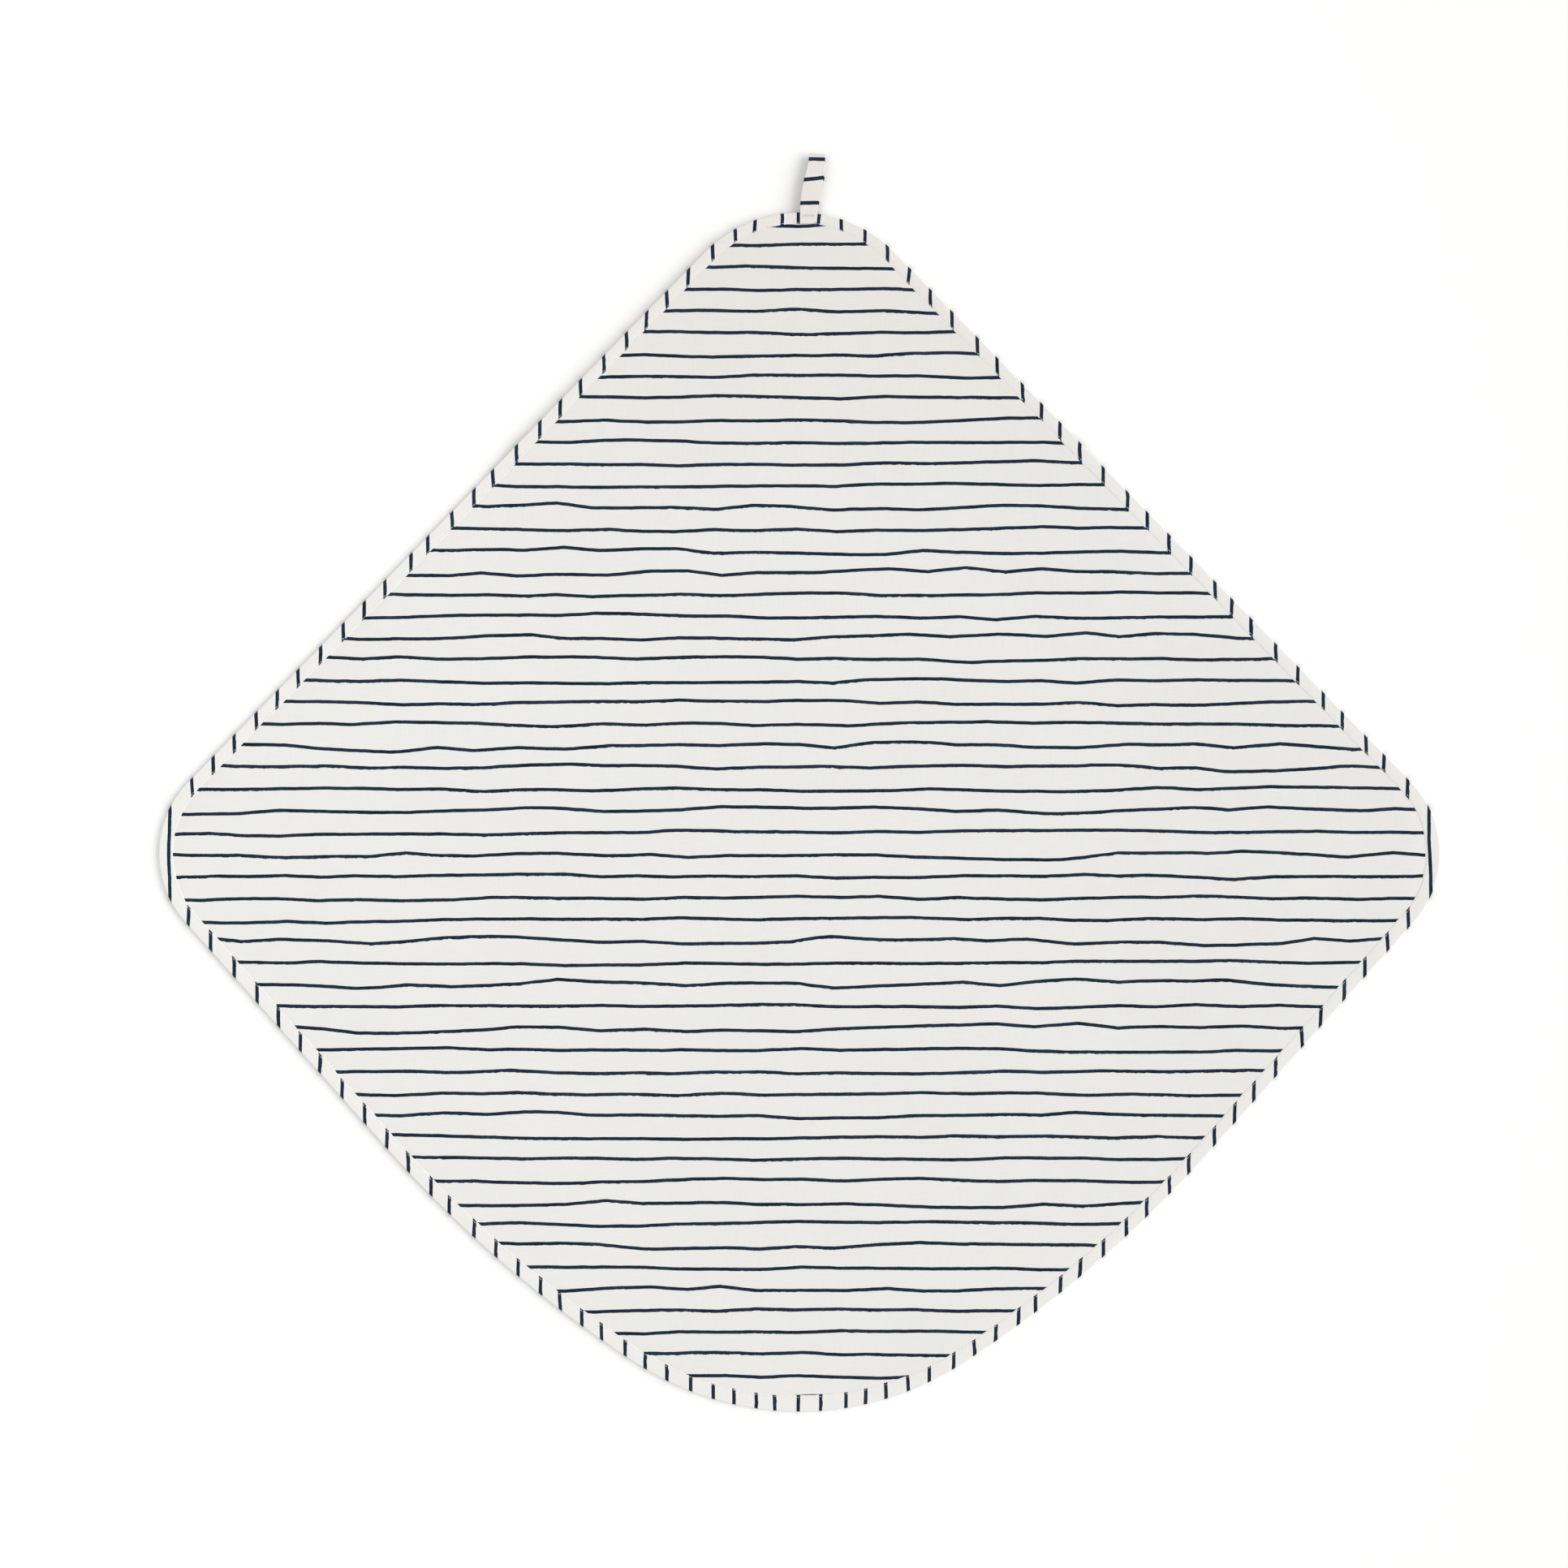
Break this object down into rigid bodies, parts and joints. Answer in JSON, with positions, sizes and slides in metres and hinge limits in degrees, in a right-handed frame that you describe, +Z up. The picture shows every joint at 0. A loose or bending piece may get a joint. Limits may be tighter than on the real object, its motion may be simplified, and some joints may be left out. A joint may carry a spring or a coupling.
{
  "type": "hooded baby towel",
  "caption": "Square towel with rounded corners in striped cotton over terry, with a bound edge, a hood pocket under one corner and a hanging loop.",
  "frame": {"origin": "centre of the footprint, hanging loop included, on the surface that the towel lies on", "axes": "+X across the towel from side corner to side corner, +Y towards the hood corner and its hanging loop, +Z up, out of the printed side"},
  "size_m": [0.999, 0.9805, 0.0078],
  "materials": {
    "printed_cotton": "matt woven cotton, off-white with wavy hand-drawn charcoal-navy stripes",
    "terry": "looped cotton pile, undyed white",
    "binding": "matt woven cotton tape, off-white with the same stripes across it",
    "thread": "spun polyester thread, off-white",
    "loop_tape": "folded printed cotton tape",
    "label": "plain satin ribbon, blank"
  },
  "bodies": {
    "towel": {"outer_panel": "printed_cotton", "terry_panel": "terry", "edge_binding": "binding", "edge_stitching": "thread", "care_label": "label"},
    "hood_back": {"outer_corner": "printed_cotton", "terry_corner": "terry", "corner_binding": "binding", "corner_stitching": "thread", "hood_seam_allowance": "terry", "loop_tail": "loop_tape", "loop_bar_tack": "thread"},
    "hood_front": {"hood_outer": "printed_cotton", "hood_lining": "terry", "hood_mouth_binding": "binding", "hood_mouth_stitching": "thread"},
    "loop": {"hanging_loop": "loop_tape"}
  },
  "joints": [
    {"name": "hood_fold", "type": "hinge", "parent": "towel", "child": "hood_back", "pos_m": [0, 0.26008, 0.0055], "axis": [1, 0, 0], "range_deg": [0, 160]},
    {"name": "hood_open", "type": "hinge", "parent": "hood_back", "child": "hood_front", "pos_m": [0, 0.43168, 0.00262], "axis": [1, 0, 0], "range_deg": [0, 30.5]},
    {"name": "loop_fold", "type": "hinge", "parent": "hood_back", "child": "loop", "pos_m": [0.0073, 0.445, 0.008], "axis": [1, 0, 0], "range_deg": [0, 150]}
  ],
  "couplings": [
    {"joint": "hood_open", "follows": "hood_fold", "ratio": 0.1875}
  ]
}
